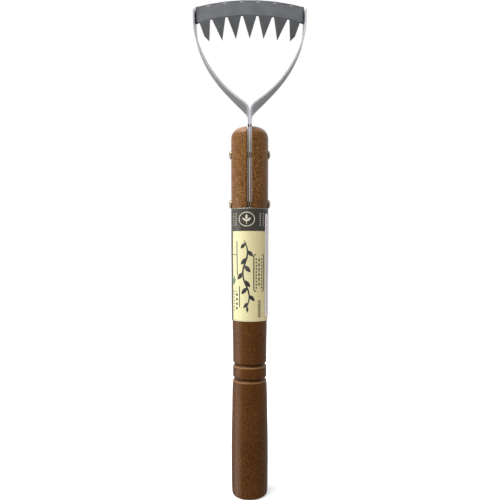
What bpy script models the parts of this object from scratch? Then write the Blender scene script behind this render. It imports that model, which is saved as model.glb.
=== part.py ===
# Hand tool with a toothed head: a slotted wooden handle, two flat steel straps
# that leave it as a tang and spread into a heart-shaped fork, and a dark toothed
# blade that bridges the fork.  The origin is the centre of the handle's butt,
# +Z runs along the handle to the head, -Y is the front, lengths are in metres.
import math

import bmesh
import bpy
from mathutils import Vector

MM = 0.001
CLEARANCE = 0.25 * MM             # kept between pieces that touch

# Handle: a turned grip, (height, radius) of its smooth stretches from butt to top
HANDLE_LENGTH = 250.3 * MM
BUTT_FILLET = 2.2 * MM
TOP_FILLET = 7.5 * MM
GRIP_STATIONS = (
    (0.0 * MM, 12.1 * MM),
    (10.0 * MM, 12.35 * MM),
    (31.0 * MM, 12.5 * MM),
    (60.0 * MM, 12.05 * MM),
    (72.0 * MM, 11.85 * MM),
    (79.3 * MM, 11.5 * MM),
    (94.0 * MM, 11.45 * MM),
    (119.0 * MM, 11.8 * MM),
    (194.0 * MM, 12.25 * MM),
    (197.5 * MM, 12.6 * MM),
    (235.0 * MM, 12.75 * MM),
    (250.3 * MM, 12.75 * MM),
)
GRIP_STEP = 6.0 * MM              # spacing of the turned profile's points
STEP_UP_HEIGHTS = (195.3 * MM, 197.1 * MM)   # extra points where the grip steps up above the label
GROOVE_HEIGHTS = (79.3 * MM, 89.2 * MM)
GROOVE_DEPTH = 1.3 * MM
GROOVE_HALF_WIDTH = 1.25 * MM
GROOVE_MARGIN = 1.0 * MM          # no other point of the profile comes closer to a groove
TURNED_STEPS = 64
BUTT_FILLET_STEPS = 5
TOP_FILLET_STEPS = 8

# Straps: two equal strips of flat steel, back to back in the handle
STRAP_THICKNESS = 1.2 * MM
TANG_BOTTOM = 183.0 * MM
NECK_HEIGHT = 261.6 * MM          # middle of the bend where the straps part
# Bends from the neck up: (length of the stretch, degrees it turns outwards)
STRAP_BENDS = (
    (5.0 * MM, 45.0),
    (5.5 * MM, 5.0),
    (14.0 * MM, -6.0),
    (16.0 * MM, -11.0),
    (16.0 * MM, -12.0),
    (12.0 * MM, -12.5),
    (8.0 * MM, -8.5),
    (6.0 * MM, 0.0),
)
DEGREES_PER_SEGMENT = 3.0
# Width of the strap, (distance along it from the neck, width)
STRAP_WIDTHS = (
    (-80.0 * MM, 23.6 * MM),
    (-66.0 * MM, 23.6 * MM),
    (-60.0 * MM, 24.6 * MM),
    (-8.0 * MM, 25.0 * MM),
    (1.0 * MM, 26.0 * MM),
    (16.0 * MM, 18.0 * MM),
    (30.0 * MM, 14.8 * MM),
    (80.0 * MM, 14.4 * MM),
)

# Slot for the straps, and the two cross rivets
SLOT_BOTTOM = TANG_BOTTOM - CLEARANCE
SLOT_HALF_WIDTH = STRAP_THICKNESS + 1.5 * CLEARANCE
CUTTER_REACH = 20.0 * MM          # cutters end this far from the middle, outside the wood
CUTTER_TOP = HANDLE_LENGTH + 10.0 * MM
RIVET_HEIGHTS = {"lower_handle_rivet": 198.1 * MM, "upper_handle_rivet": 231.9 * MM}
RIVET_SHANK_RADIUS = 1.9 * MM
RIVET_HEAD_RADIUS = 3.05 * MM
RIVET_HEAD_RIM = 0.35 * MM        # straight edge of the head below its dome
RIVET_HEAD_SEAT = 12.35 * MM      # half distance between the two spot faces
RIVET_DOME_TOP = 14.1 * MM        # half length of the whole rivet
RIVET_DOME_STEPS = 6
TANG_BORE_REACH = 4.8 * MM        # the straps' bores are cut this far to both sides
ROUND_SEGMENTS = 32

# Blade: a plate cut round one centre, its teeth pointing at the handle
BLADE_THICKNESS = 1.6 * MM
BLADE_FRONT = -7.3 * MM
BLADE_TOP = 334.8 * MM
BLADE_RADIUS = 142.0 * MM
BAND_HEIGHT = 9.9 * MM
TOOTH_COUNT = 7
TOOTH_PITCH_DEGREES = 4.56
TOOTH_LENGTH = 15.5 * MM
VALLEY_RADIUS = 0.8 * MM          # round bottom of the gap between two teeth
VALLEY_DEGREES = (10.0, 50.0, 90.0, 130.0, 170.0)
OUTER_TIP_DEGREES = 13.35
OUTER_TIP_SHORTER = 1.3 * MM
OUTER_KINK = (30.6 * MM, 310.9 * MM)
FLANGE_LENGTH = 10.0 * MM         # how far a folded end runs back
FOLD_RADIUS_TOP = 1.9 * MM
FOLD_RADIUS_BOTTOM = 3.0 * MM
FLANGE_FOOT = 319.8 * MM
FLANGE_RISE = 6.0 * MM            # rise of its lower edge towards the back
FLANGE_FALL = 1.5 * MM            # fall of its upper edge towards the back
FOLD_SEGMENTS = 6
FOLD_LEVELS = 5
TOP_ARC_STEPS = 28

# Flush rivets through arm and flange, (name ending, y, z)
BLADE_RIVETS = (("front", -2.4 * MM, 323.8 * MM), ("rear", 0.6 * MM, 326.6 * MM))
BLADE_RIVET_RADIUS = 1.2 * MM
BLADE_RIVET_HEAD_RADIUS = 1.9 * MM
BLADE_RIVET_HEAD_HEIGHT = 0.9 * MM
FORK_BORE_START = 30.0 * MM       # their bores run between these distances from the middle
FORK_BORE_END = 50.0 * MM

# Paper round the handle
LABEL_BOTTOM = 119.1 * MM
LABEL_TOP = 194.7 * MM
LABEL_GAP = 0.2 * MM              # between the wood and the paper
LABEL_THICKNESS = 0.25 * MM
LABEL_SEAM_DEGREES = 4.0
STRIP_BOTTOM = 122.5 * MM
STRIP_TOP = 191.1 * MM
STRIP_FIRST_DEGREES = 54.0        # azimuth from the front, towards +X
STRIP_LAST_DEGREES = 108.0
STRIP_LIFT = 0.15 * MM
STRIP_THICKNESS = 0.15 * MM
SHEET_STEP_DEGREES = 5.0


def clear_scene():
    for old in list(bpy.data.objects):
        bpy.data.objects.remove(old, do_unlink=True)


def make_material(name, colour, roughness, metallic):
    material = bpy.data.materials.new(name)
    material.use_nodes = True
    shader = material.node_tree.nodes["Principled BSDF"]
    shader.inputs["Base Color"].default_value = (*colour, 1.0)
    shader.inputs["Roughness"].default_value = roughness
    shader.inputs["Metallic"].default_value = metallic
    return material


def add_object(name, mesh_builder, material=None):
    mesh = bpy.data.meshes.new(name)
    bmesh.ops.recalc_face_normals(mesh_builder, faces=mesh_builder.faces)
    mesh_builder.to_mesh(mesh)
    mesh_builder.free()
    piece = bpy.data.objects.new(name, mesh)
    bpy.context.collection.objects.link(piece)
    if material:
        mesh.materials.append(material)
    return piece


def shade_round(piece, degrees=40.0):
    piece.data.shade_smooth()
    piece.data.set_sharp_from_angle(angle=math.radians(degrees))


def station_slopes(stations):
    # Slope at each station: the harmonic mean of its two sides, which never overshoots,
    # and level at a crest, a dip or an end
    steps = [(high[1] - low[1]) / (high[0] - low[0]) for low, high in zip(stations, stations[1:])]
    slopes = [0.0]
    for before, after in zip(steps, steps[1:]):
        slopes.append(2.0 * before * after / (before + after) if before * after > 0.0 else 0.0)
    slopes.append(0.0)
    return slopes


def smooth_between(stations, place):
    # Value at a place on the smooth curve through the stations
    if place <= stations[0][0]:
        return stations[0][1]
    slopes = station_slopes(stations)
    for index, (low, high) in enumerate(zip(stations, stations[1:])):
        if place <= high[0]:
            length = high[0] - low[0]
            share = (place - low[0]) / length
            rise = share * share * (3.0 - 2.0 * share)
            start = share * (1.0 - share) ** 2 * length * slopes[index]
            finish = share * share * (share - 1.0) * length * slopes[index + 1]
            return low[1] + (high[1] - low[1]) * rise + start + finish
    return stations[-1][1]


def hide_cutter(cutter):
    cutter.hide_render = True
    cutter.display_type = "WIRE"


def cut_with(piece, cutter):
    cut = piece.modifiers.new("cut " + cutter.name, "BOOLEAN")
    cut.operation = "DIFFERENCE"
    cut.solver = "EXACT"
    cut.object = cutter


def turned_mesh(profile, steps):
    # A solid of revolution about Z from (radius, height) points, poles closed
    shape = bmesh.new()
    rings = []
    for radius, height in profile:
        if radius < 1e-9:
            rings.append([shape.verts.new((0.0, 0.0, height))])
            continue
        ring = []
        for step in range(steps):
            turn = 2.0 * math.pi * step / steps
            ring.append(shape.verts.new((radius * math.cos(turn), radius * math.sin(turn), height)))
        rings.append(ring)
    for low, high in zip(rings, rings[1:]):
        for step in range(steps):
            after = (step + 1) % steps
            corners = [low[step % len(low)], low[after % len(low)],
                       high[after % len(high)], high[step % len(high)]]
            shape.faces.new(list(dict.fromkeys(corners)))
    return shape


def grip_profile():
    # Height and radius of the handle's outside, butt to top
    profile = [(0.0, 0.0)]
    for step in range(BUTT_FILLET_STEPS + 1):
        turn = 0.5 * math.pi * step / BUTT_FILLET_STEPS
        radius = GRIP_STATIONS[0][1] - BUTT_FILLET * (1.0 - math.sin(turn))
        profile.append((radius, BUTT_FILLET * (1.0 - math.cos(turn))))
    heights = []
    height = BUTT_FILLET + GRIP_STEP
    while height < HANDLE_LENGTH - TOP_FILLET - 0.5 * GRIP_STEP:
        if all(abs(height - groove) > GROOVE_HALF_WIDTH + GROOVE_MARGIN for groove in GROOVE_HEIGHTS):
            heights.append(height)
        height += GRIP_STEP
    heights += STEP_UP_HEIGHTS
    for groove in GROOVE_HEIGHTS:
        heights += [groove - GROOVE_HALF_WIDTH, groove, groove + GROOVE_HALF_WIDTH]
    for height in sorted(heights):
        radius = smooth_between(GRIP_STATIONS, height)
        if height in GROOVE_HEIGHTS:
            radius -= GROOVE_DEPTH
        profile.append((radius, height))
    shoulder = HANDLE_LENGTH - TOP_FILLET
    for step in range(TOP_FILLET_STEPS + 1):
        turn = 0.5 * math.pi * step / TOP_FILLET_STEPS
        radius = GRIP_STATIONS[-1][1] - TOP_FILLET * (1.0 - math.cos(turn))
        profile.append((radius, shoulder + TOP_FILLET * math.sin(turn)))
    profile.append((0.0, HANDLE_LENGTH))
    return profile


def make_slot_cutter():
    shape = bmesh.new()
    bmesh.ops.create_cube(shape, size=1.0)
    size = Vector((2.0 * SLOT_HALF_WIDTH, 2.0 * CUTTER_REACH, CUTTER_TOP - SLOT_BOTTOM))
    bmesh.ops.scale(shape, vec=size, verts=shape.verts)
    bmesh.ops.translate(shape, vec=(0.0, 0.0, 0.5 * (CUTTER_TOP + SLOT_BOTTOM)), verts=shape.verts)
    cutter = add_object("slot_cutter", shape)
    hide_cutter(cutter)
    return cutter


def crosswise(shape, height, y=0.0):
    # Lay a solid turned about Z along X, at a height and a depth
    for vert in shape.verts:
        x, across, along = vert.co
        vert.co = (along, y + across, height - x)
    return shape


def make_bore(name, height, y, radius, low, high):
    # A round cutter along X, between two places, that clears a shank of this radius
    wide = radius + CLEARANCE
    profile = [(0.0, low), (wide, low), (wide, high), (0.0, high)]
    cutter = add_object("bore_" + name, crosswise(turned_mesh(profile, ROUND_SEGMENTS), height, y))
    hide_cutter(cutter)
    return cutter


def cut_blade_bores(piece, side):
    # Bores for the flush rivets on one side of the head
    low, high = sorted((side * FORK_BORE_START, side * FORK_BORE_END))
    for ending, y, height in BLADE_RIVETS:
        name = "_".join((piece.name, ending, "left" if side < 0.0 else "right"))
        cut_with(piece, make_bore(name, height, y, BLADE_RIVET_RADIUS, low, high))


def make_rivet_cutter(name, height):
    bore = RIVET_SHANK_RADIUS + CLEARANCE
    spot = RIVET_HEAD_RADIUS + CLEARANCE
    seat = RIVET_HEAD_SEAT - CLEARANCE
    profile = [(0.0, -CUTTER_REACH), (spot, -CUTTER_REACH), (spot, -seat), (bore, -seat),
               (bore, seat), (spot, seat), (spot, CUTTER_REACH), (0.0, CUTTER_REACH)]
    cutter = add_object(name, crosswise(turned_mesh(profile, ROUND_SEGMENTS), height))
    hide_cutter(cutter)
    return cutter


def make_handle(material):
    handle = add_object("handle", turned_mesh(grip_profile(), TURNED_STEPS), material)
    cut_with(handle, make_slot_cutter())
    for name, height in RIVET_HEIGHTS.items():
        cut_with(handle, make_rivet_cutter("bore_for_" + name, height))
    shade_round(handle, 35.0)
    return handle


def make_handle_rivet(name, height, material):
    half = [(RIVET_SHANK_RADIUS, RIVET_HEAD_SEAT), (RIVET_HEAD_RADIUS, RIVET_HEAD_SEAT)]
    dome_height = RIVET_DOME_TOP - RIVET_HEAD_SEAT - RIVET_HEAD_RIM
    for step in range(RIVET_DOME_STEPS + 1):
        turn = 0.5 * math.pi * step / RIVET_DOME_STEPS
        half.append((RIVET_HEAD_RADIUS * math.cos(turn),
                     RIVET_HEAD_SEAT + RIVET_HEAD_RIM + dome_height * math.sin(turn)))
    half[-1] = (0.0, RIVET_DOME_TOP)
    profile = [(radius, -reach) for radius, reach in reversed(half)] + half
    rivet = add_object(name, crosswise(turned_mesh(profile, ROUND_SEGMENTS), height), material)
    shade_round(rivet)
    return rivet


def strap_path():
    # Centre line of the right strap: (along, x, z, heading in radians)
    start = NECK_HEIGHT - 0.5 * STRAP_BENDS[0][0]
    x = 0.5 * CLEARANCE + 0.5 * STRAP_THICKNESS
    path = [(TANG_BOTTOM - NECK_HEIGHT, x, TANG_BOTTOM, 0.0)]
    for station, _ in STRAP_WIDTHS:
        if TANG_BOTTOM - NECK_HEIGHT < station < start - NECK_HEIGHT:
            path.append((station, x, NECK_HEIGHT + station, 0.0))
    path.append((start - NECK_HEIGHT, x, start, 0.0))
    along, z, heading = start - NECK_HEIGHT, start, 0.0
    for length, turn in STRAP_BENDS:
        pieces = max(1, math.ceil(abs(turn) / DEGREES_PER_SEGMENT))
        for _ in range(pieces):
            step = length / pieces
            middle = heading + 0.5 * math.radians(turn) / pieces
            x += step * math.sin(middle)
            z += step * math.cos(middle)
            heading += math.radians(turn) / pieces
            along += step
            path.append((along, x, z, heading))
    return path


def make_strap(name, side, material):
    shape = bmesh.new()
    rings = []
    for along, x, z, heading in strap_path():
        half_width = 0.5 * smooth_between(STRAP_WIDTHS, along)
        ring = []
        for offset, y in ((-0.5, -1), (0.5, -1), (0.5, 1), (-0.5, 1)):
            out = offset * STRAP_THICKNESS
            ring.append(shape.verts.new((side * (x + out * math.cos(heading)),
                                         y * half_width,
                                         z - out * math.sin(heading))))
        rings.append(ring)
    for low, high in zip(rings, rings[1:]):
        for corner in range(4):
            after = (corner + 1) % 4
            shape.faces.new((low[corner], low[after], high[after], high[corner]))
    shape.faces.new(rings[0])
    shape.faces.new(rings[-1])
    strap = add_object(name, shape, material)
    for rivet_name, height in RIVET_HEIGHTS.items():
        cut_with(strap, make_bore(name + "_" + rivet_name, height, 0.0, RIVET_SHANK_RADIUS,
                                  -TANG_BORE_REACH, TANG_BORE_REACH))
    cut_blade_bores(strap, side)
    shade_round(strap, 25.0)
    return strap


def arm_inner_face():
    # Smallest distance from the middle to an arm's inner face beside the blade
    return min(x - 0.5 * STRAP_THICKNESS for _, x, z, _ in strap_path() if z > FLANGE_FOOT)


def blade_point(radius, degrees):
    # A point of the plate by its distance and direction from the cutting centre
    turn = math.radians(degrees)
    centre = BLADE_TOP - BLADE_RADIUS
    return (radius * math.sin(turn), centre + radius * math.cos(turn))


def fold_line(flange_face):
    # The right fold from top to foot: (x, z, radius of the bend) for each level
    centre = BLADE_TOP - BLADE_RADIUS
    levels = []
    for level in range(FOLD_LEVELS):
        share = level / (FOLD_LEVELS - 1)
        radius = FOLD_RADIUS_TOP + (FOLD_RADIUS_BOTTOM - FOLD_RADIUS_TOP) * share
        x = flange_face - radius
        top = centre + math.sqrt(BLADE_RADIUS ** 2 - (flange_face - FOLD_RADIUS_TOP) ** 2)
        levels.append((x, top + (FLANGE_FOOT - top) * share, radius))
    return levels


def tooth_edge():
    # Lower outline from the right fold's foot to the left one
    root = BLADE_RADIUS - BAND_HEIGHT
    tip = root - TOOTH_LENGTH
    half_teeth = TOOTH_COUNT // 2
    kink_x, kink_z = OUTER_KINK
    points = [(kink_x, kink_z), blade_point(tip + OUTER_TIP_SHORTER, OUTER_TIP_DEGREES)]
    for gap in range(TOOTH_COUNT - 1):
        middle = (half_teeth - 0.5 - gap) * TOOTH_PITCH_DEGREES
        for degrees in VALLEY_DEGREES:
            turn = math.radians(degrees)
            aside = math.degrees(VALLEY_RADIUS * math.cos(turn) / root)
            points.append(blade_point(root - VALLEY_RADIUS * (1.0 - math.sin(turn)), middle + aside))
        next_tooth = half_teeth - 1 - gap
        if next_tooth > -half_teeth:
            points.append(blade_point(tip, next_tooth * TOOTH_PITCH_DEGREES))
    points += [blade_point(tip + OUTER_TIP_SHORTER, -OUTER_TIP_DEGREES), (-kink_x, kink_z)]
    return points


def make_blade(material):
    shape = bmesh.new()
    flange_face = arm_inner_face() - CLEARANCE
    levels = fold_line(flange_face)

    def front(x, z):
        return shape.verts.new((x, BLADE_FRONT, z))

    right = [front(x, z) for x, z, _ in levels]
    left = [front(-x, z) for x, z, _ in levels]
    limit = math.degrees(math.asin(levels[0][0] / BLADE_RADIUS))
    top = [front(*blade_point(BLADE_RADIUS, limit * (2.0 * step / TOP_ARC_STEPS - 1.0)))
           for step in range(1, TOP_ARC_STEPS)]
    bottom = [front(x, z) for x, z in tooth_edge()]
    shape.faces.new(left[:1] + top + right + bottom + left[:0:-1])

    for side, fold in ((1.0, right), (-1.0, left)):
        columns = [fold]
        for step in range(1, FOLD_SEGMENTS + 1):
            turn = 0.5 * math.pi * step / FOLD_SEGMENTS
            columns.append([shape.verts.new((side * (x + radius * math.sin(turn)),
                                             BLADE_FRONT + radius * (1.0 - math.cos(turn)), z))
                            for x, z, radius in levels])
        back = []
        for index, (x, z, radius) in enumerate(levels):
            share = index / (FOLD_LEVELS - 1)
            lift = FLANGE_RISE * share - FLANGE_FALL * (1.0 - share)
            back.append(shape.verts.new((side * flange_face, BLADE_FRONT + FLANGE_LENGTH, z + lift)))
        columns.append(back)
        for near, far in zip(columns, columns[1:]):
            for level in range(FOLD_LEVELS - 1):
                corners = (near[level], far[level], far[level + 1], near[level + 1])
                shape.faces.new(corners if side > 0.0 else corners[::-1])
    blade = add_object("blade", shape, material)
    wall = blade.modifiers.new("plate thickness", "SOLIDIFY")
    wall.thickness = BLADE_THICKNESS
    wall.offset = -1.0
    wall.use_even_offset = True
    for side in (-1.0, 1.0):
        cut_blade_bores(blade, side)
    shade_round(blade, 35.0)
    return blade


def make_blade_rivets(material):
    # Shank through arm and flange, flat outside, a low head inside the flange
    inside = arm_inner_face() - CLEARANCE - BLADE_THICKNESS - CLEARANCE
    outside = max(x for _, x, _, _ in strap_path()) + 0.5 * STRAP_THICKNESS
    head_top = inside - BLADE_RIVET_HEAD_HEIGHT
    edge = 0.5 * (inside + head_top)
    profile = [(0.0, head_top), (0.7 * BLADE_RIVET_HEAD_RADIUS, head_top),
               (BLADE_RIVET_HEAD_RADIUS, edge), (BLADE_RIVET_HEAD_RADIUS, inside),
               (BLADE_RIVET_RADIUS, inside), (BLADE_RIVET_RADIUS, outside), (0.0, outside)]
    for side, side_name in ((-1.0, "left"), (1.0, "right")):
        for ending, y, height in BLADE_RIVETS:
            sided = [(radius, side * reach) for radius, reach in profile]
            shape = crosswise(turned_mesh(sided, ROUND_SEGMENTS // 2), height, y)
            rivet = add_object(side_name + "_blade_rivet_" + ending, shape, material)
            shade_round(rivet)


def paper_radius(height, lift):
    # The paper lies straight between the wood's radii at the label's two edges
    low = smooth_between(GRIP_STATIONS, LABEL_BOTTOM)
    high = smooth_between(GRIP_STATIONS, LABEL_TOP)
    share = (height - LABEL_BOTTOM) / (LABEL_TOP - LABEL_BOTTOM)
    return low + (high - low) * share + lift


def wrapped_sheet(name, first, last, lift, thickness, low, high, material):
    # A sheet round the handle between two azimuths from the front, lifted off the wood
    steps = max(4, round((last - first) / SHEET_STEP_DEGREES))
    inner_low = paper_radius(low, lift)
    inner_high = paper_radius(high, lift)
    shape = bmesh.new()
    rings = []
    for step in range(steps + 1):
        turn = math.radians(first + (last - first) * step / steps)
        ring = []
        for radius, height in ((inner_low, low), (inner_low + thickness, low),
                               (inner_high + thickness, high), (inner_high, high)):
            ring.append(shape.verts.new((radius * math.sin(turn), -radius * math.cos(turn), height)))
        rings.append(ring)
    for near, far in zip(rings, rings[1:]):
        for corner in range(4):
            after = (corner + 1) % 4
            shape.faces.new((near[corner], near[after], far[after], far[corner]))
    shape.faces.new(rings[0])
    shape.faces.new(rings[-1])
    sheet = add_object(name, shape, material)
    shade_round(sheet)
    return sheet


def main():
    clear_scene()
    wood = make_material("stained wood", (0.21, 0.11, 0.055), 0.45, 0.0)
    plated = make_material("plated steel", (0.62, 0.62, 0.65), 0.35, 1.0)
    dark_steel = make_material("dark steel", (0.13, 0.135, 0.14), 0.5, 0.8)
    brass = make_material("pale brass", (0.75, 0.62, 0.38), 0.3, 1.0)
    paper = make_material("printed paper", (0.84, 0.8, 0.55), 0.6, 0.0)
    white = make_material("white paper", (0.85, 0.84, 0.8), 0.6, 0.0)

    make_handle(wood)
    make_strap("left_arm", -1.0, plated)
    make_strap("right_arm", 1.0, plated)
    make_blade(dark_steel)
    for name, height in RIVET_HEIGHTS.items():
        make_handle_rivet(name, height, brass)
    make_blade_rivets(plated)
    half_wrap = 180.0 - 0.5 * LABEL_SEAM_DEGREES
    wrapped_sheet("label", -half_wrap, half_wrap, LABEL_GAP, LABEL_THICKNESS,
                  LABEL_BOTTOM, LABEL_TOP, paper)
    wrapped_sheet("label_strip", STRIP_FIRST_DEGREES, STRIP_LAST_DEGREES,
                  LABEL_GAP + LABEL_THICKNESS + STRIP_LIFT, STRIP_THICKNESS,
                  STRIP_BOTTOM, STRIP_TOP, white)


main()
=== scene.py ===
import math

import bmesh
import bpy
from mathutils import Matrix, Vector


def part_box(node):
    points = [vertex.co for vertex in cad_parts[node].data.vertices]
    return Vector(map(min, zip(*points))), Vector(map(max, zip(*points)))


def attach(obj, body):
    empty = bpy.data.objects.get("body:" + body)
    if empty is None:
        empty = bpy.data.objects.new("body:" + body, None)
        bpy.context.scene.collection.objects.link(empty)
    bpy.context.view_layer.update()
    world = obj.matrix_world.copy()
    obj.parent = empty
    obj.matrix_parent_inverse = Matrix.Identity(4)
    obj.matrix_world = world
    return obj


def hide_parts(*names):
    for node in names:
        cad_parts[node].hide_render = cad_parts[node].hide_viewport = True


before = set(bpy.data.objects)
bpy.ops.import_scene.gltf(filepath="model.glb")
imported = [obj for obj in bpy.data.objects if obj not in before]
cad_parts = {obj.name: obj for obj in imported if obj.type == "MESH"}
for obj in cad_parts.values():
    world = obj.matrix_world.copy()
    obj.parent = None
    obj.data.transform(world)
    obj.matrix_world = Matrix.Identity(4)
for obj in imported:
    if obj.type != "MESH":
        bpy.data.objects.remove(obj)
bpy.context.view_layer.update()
mm = 0.001
print("frame loaded")


# node helpers

def newGroup(name, inputs, outputs):
    group = bpy.data.node_groups.new(name, "ShaderNodeTree")
    for socketName, kind, value in inputs:
        socket = group.interface.new_socket(socketName, in_out="INPUT", socket_type=kind)
        if value is not None:
            socket.default_value = value
    for socketName, kind in outputs:
        group.interface.new_socket(socketName, in_out="OUTPUT", socket_type=kind)
    start = group.nodes.new("NodeGroupInput")
    end = group.nodes.new("NodeGroupOutput")
    return group, start, end


class Wiring:
    # short calls for one node tree; a value is a number, a colour or a socket

    def __init__(self, tree):
        self.nodes = tree.nodes
        self.links = tree.links

    def feed(self, socket, value):
        if isinstance(value, bpy.types.NodeSocket):
            self.links.new(value, socket)
        elif value is not None:
            socket.default_value = value

    def math(self, operation, first, second=None, third=None, clamp=False):
        node = self.nodes.new("ShaderNodeMath")
        node.operation = operation
        node.use_clamp = clamp
        for socket, value in zip(node.inputs, (first, second, third)):
            self.feed(socket, value)
        return node.outputs[0]

    def mix(self, share, first, second):
        node = self.nodes.new("ShaderNodeMix")
        node.data_type = "RGBA"
        self.feed(node.inputs[0], share)
        self.feed(node.inputs[6], first)
        self.feed(node.inputs[7], second)
        return node.outputs[2]

    def ramp(self, share, stops):
        node = self.nodes.new("ShaderNodeValToRGB")
        while len(node.color_ramp.elements) < len(stops):
            node.color_ramp.elements.new(0.5)
        for element, (position, colour) in zip(node.color_ramp.elements, stops):
            element.position = position
            element.color = (*colour, 1.0)
        self.feed(node.inputs[0], share)
        return node.outputs[0]

    def spread(self, value, low, high, newLow=0.0, newHigh=1.0):
        node = self.nodes.new("ShaderNodeMapRange")
        for socket, number in zip(node.inputs, (value, low, high, newLow, newHigh)):
            self.feed(socket, number)
        return node.outputs[0]

    def noise(self, vector, scale, detail=2.0, roughness=0.5):
        node = self.nodes.new("ShaderNodeTexNoise")
        self.feed(node.inputs["Vector"], vector)
        self.feed(node.inputs["Scale"], scale)
        self.feed(node.inputs["Detail"], detail)
        self.feed(node.inputs["Roughness"], roughness)
        return node.outputs["Fac"]

    def stretch(self, vector, scale):
        node = self.nodes.new("ShaderNodeMapping")
        self.feed(node.inputs["Vector"], vector)
        self.feed(node.inputs["Scale"], scale)
        return node.outputs[0]

    def place(self, output="Object"):
        return self.nodes.new("ShaderNodeTexCoord").outputs[output]

    def split(self, vector):
        node = self.nodes.new("ShaderNodeSeparateXYZ")
        self.feed(node.inputs[0], vector)
        return node.outputs

    def group(self, group, **values):
        node = self.nodes.new("ShaderNodeGroup")
        node.node_tree = group
        for name, value in values.items():
            self.feed(node.inputs[name], value)
        return node.outputs

    def scale(self, vector, factor):
        node = self.nodes.new("ShaderNodeVectorMath")
        node.operation = "SCALE"
        self.feed(node.inputs[0], vector)
        self.feed(node.inputs["Scale"], factor)
        return node.outputs[0]

    def bump(self, height, strength, distance):
        node = self.nodes.new("ShaderNodeBump")
        self.feed(node.inputs["Height"], height)
        node.inputs["Strength"].default_value = strength
        node.inputs["Distance"].default_value = distance
        return node.outputs[0]


def newMaterial(name):
    material = bpy.data.materials.new(name)
    material.use_nodes = True
    shader = material.node_tree.nodes["Principled BSDF"]
    return material, Wiring(material.node_tree), shader


def finishSurface(wire, shader, colour, rough, normal, metal=0.0):
    wire.feed(shader.inputs["Base Color"], colour)
    wire.feed(shader.inputs["Roughness"], rough)
    wire.feed(shader.inputs["Normal"], normal)
    shader.inputs["Metallic"].default_value = metal


# camera, light and floor

cameraSettings = {
    "place": (0.0002, -0.357, 0.1667),   # level with the middle of the tool
    "lens": 37.44,
    "sensor": 36.0,
}

worldSettings = {
    "seen": (1.0, 1.0, 1.0, 1.0),
    "fill": 0.49,
    "floorShown": 0.5,                   # what the floor adds to reach white
    # brightness of the studio in polished faces, low to high, and its change from the front to
    # behind the tool; both are set for the front view
    "mirror": [(0.3, (0.20, 0.20, 0.205)), (0.5, (0.36, 0.36, 0.37)), (0.85, (0.62, 0.62, 0.64))],
    "mirrorRound": [(0.0, 0.45), (0.4, 1.1), (0.9, 1.9)],
    "floorSize": 6.0,
    "sun": 1.08,
    "sunAngle": 50.0,
    "sunAim": (0.68, 0.74, -0.85),
}

# name, place, aimed at, width, height, watts
softboxes = [
    ("left_softbox", (-0.75, -0.10, -0.165), (0.0, -0.10, -0.165), 0.60, 0.93, 5.6),
    ("top_softbox", (-0.32, -0.12, 0.95), (0.0, 0.0, 0.25), 0.70, 0.45, 8.0),
]


def addCamera():
    lens = bpy.data.cameras.new("camera")
    lens.lens = cameraSettings["lens"]
    lens.sensor_width = cameraSettings["sensor"]
    lens.clip_start = 0.01
    camera = bpy.data.objects.new("camera", lens)
    camera.location = cameraSettings["place"]
    camera.rotation_euler = (math.pi / 2.0, 0.0, 0.0)
    bpy.context.scene.collection.objects.link(camera)
    bpy.context.scene.camera = camera


def addSoftbox(name, place, target, width, height, watts):
    lamp = bpy.data.lights.new(name, "AREA")
    lamp.shape = "RECTANGLE"
    lamp.size = width
    lamp.size_y = height
    lamp.energy = watts
    softbox = bpy.data.objects.new(name, lamp)
    softbox.location = place
    aim = Vector(target) - Vector(place)
    softbox.rotation_euler = aim.to_track_quat("-Z", "Y").to_euler()
    bpy.context.scene.collection.objects.link(softbox)


def addSun():
    lamp = bpy.data.lights.new("soft_key", "SUN")
    lamp.energy = worldSettings["sun"]
    lamp.angle = math.radians(worldSettings["sunAngle"])
    sun = bpy.data.objects.new("soft_key", lamp)
    sun.rotation_euler = Vector(worldSettings["sunAim"]).to_track_quat("-Z", "Y").to_euler()
    bpy.context.scene.collection.objects.link(sun)


def setWorld():
    world = bpy.data.worlds.new("studio")
    world.use_nodes = True
    world.node_tree.nodes.clear()
    bpy.context.scene.world = world
    wire = Wiring(world.node_tree)

    def background(colour, strength):
        node = wire.nodes.new("ShaderNodeBackground")
        wire.feed(node.inputs["Color"], colour)
        wire.feed(node.inputs["Strength"], strength)
        return node.outputs[0]

    def choose(share, first, second):
        node = wire.nodes.new("ShaderNodeMixShader")
        for socket, value in zip(node.inputs, (share, first, second)):
            wire.feed(socket, value)
        return node.outputs[0]

    path = wire.nodes.new("ShaderNodeLightPath").outputs
    _, depth, up = wire.split(wire.place("Generated"))
    heights = wire.ramp(wire.math("MULTIPLY_ADD", up, 0.5, 0.5), worldSettings["mirror"])
    around = wire.ramp(wire.math("MULTIPLY_ADD", depth, 0.5, 0.5),
                       [(position, (bright,) * 3) for position, bright in worldSettings["mirrorRound"]])
    lit = choose(path["Is Glossy Ray"], background(None, worldSettings["fill"]), background(heights, around))
    shown = choose(path["Is Camera Ray"], lit, background(worldSettings["seen"], None))
    wire.feed(wire.nodes.new("ShaderNodeOutputWorld").inputs["Surface"], shown)


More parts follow.
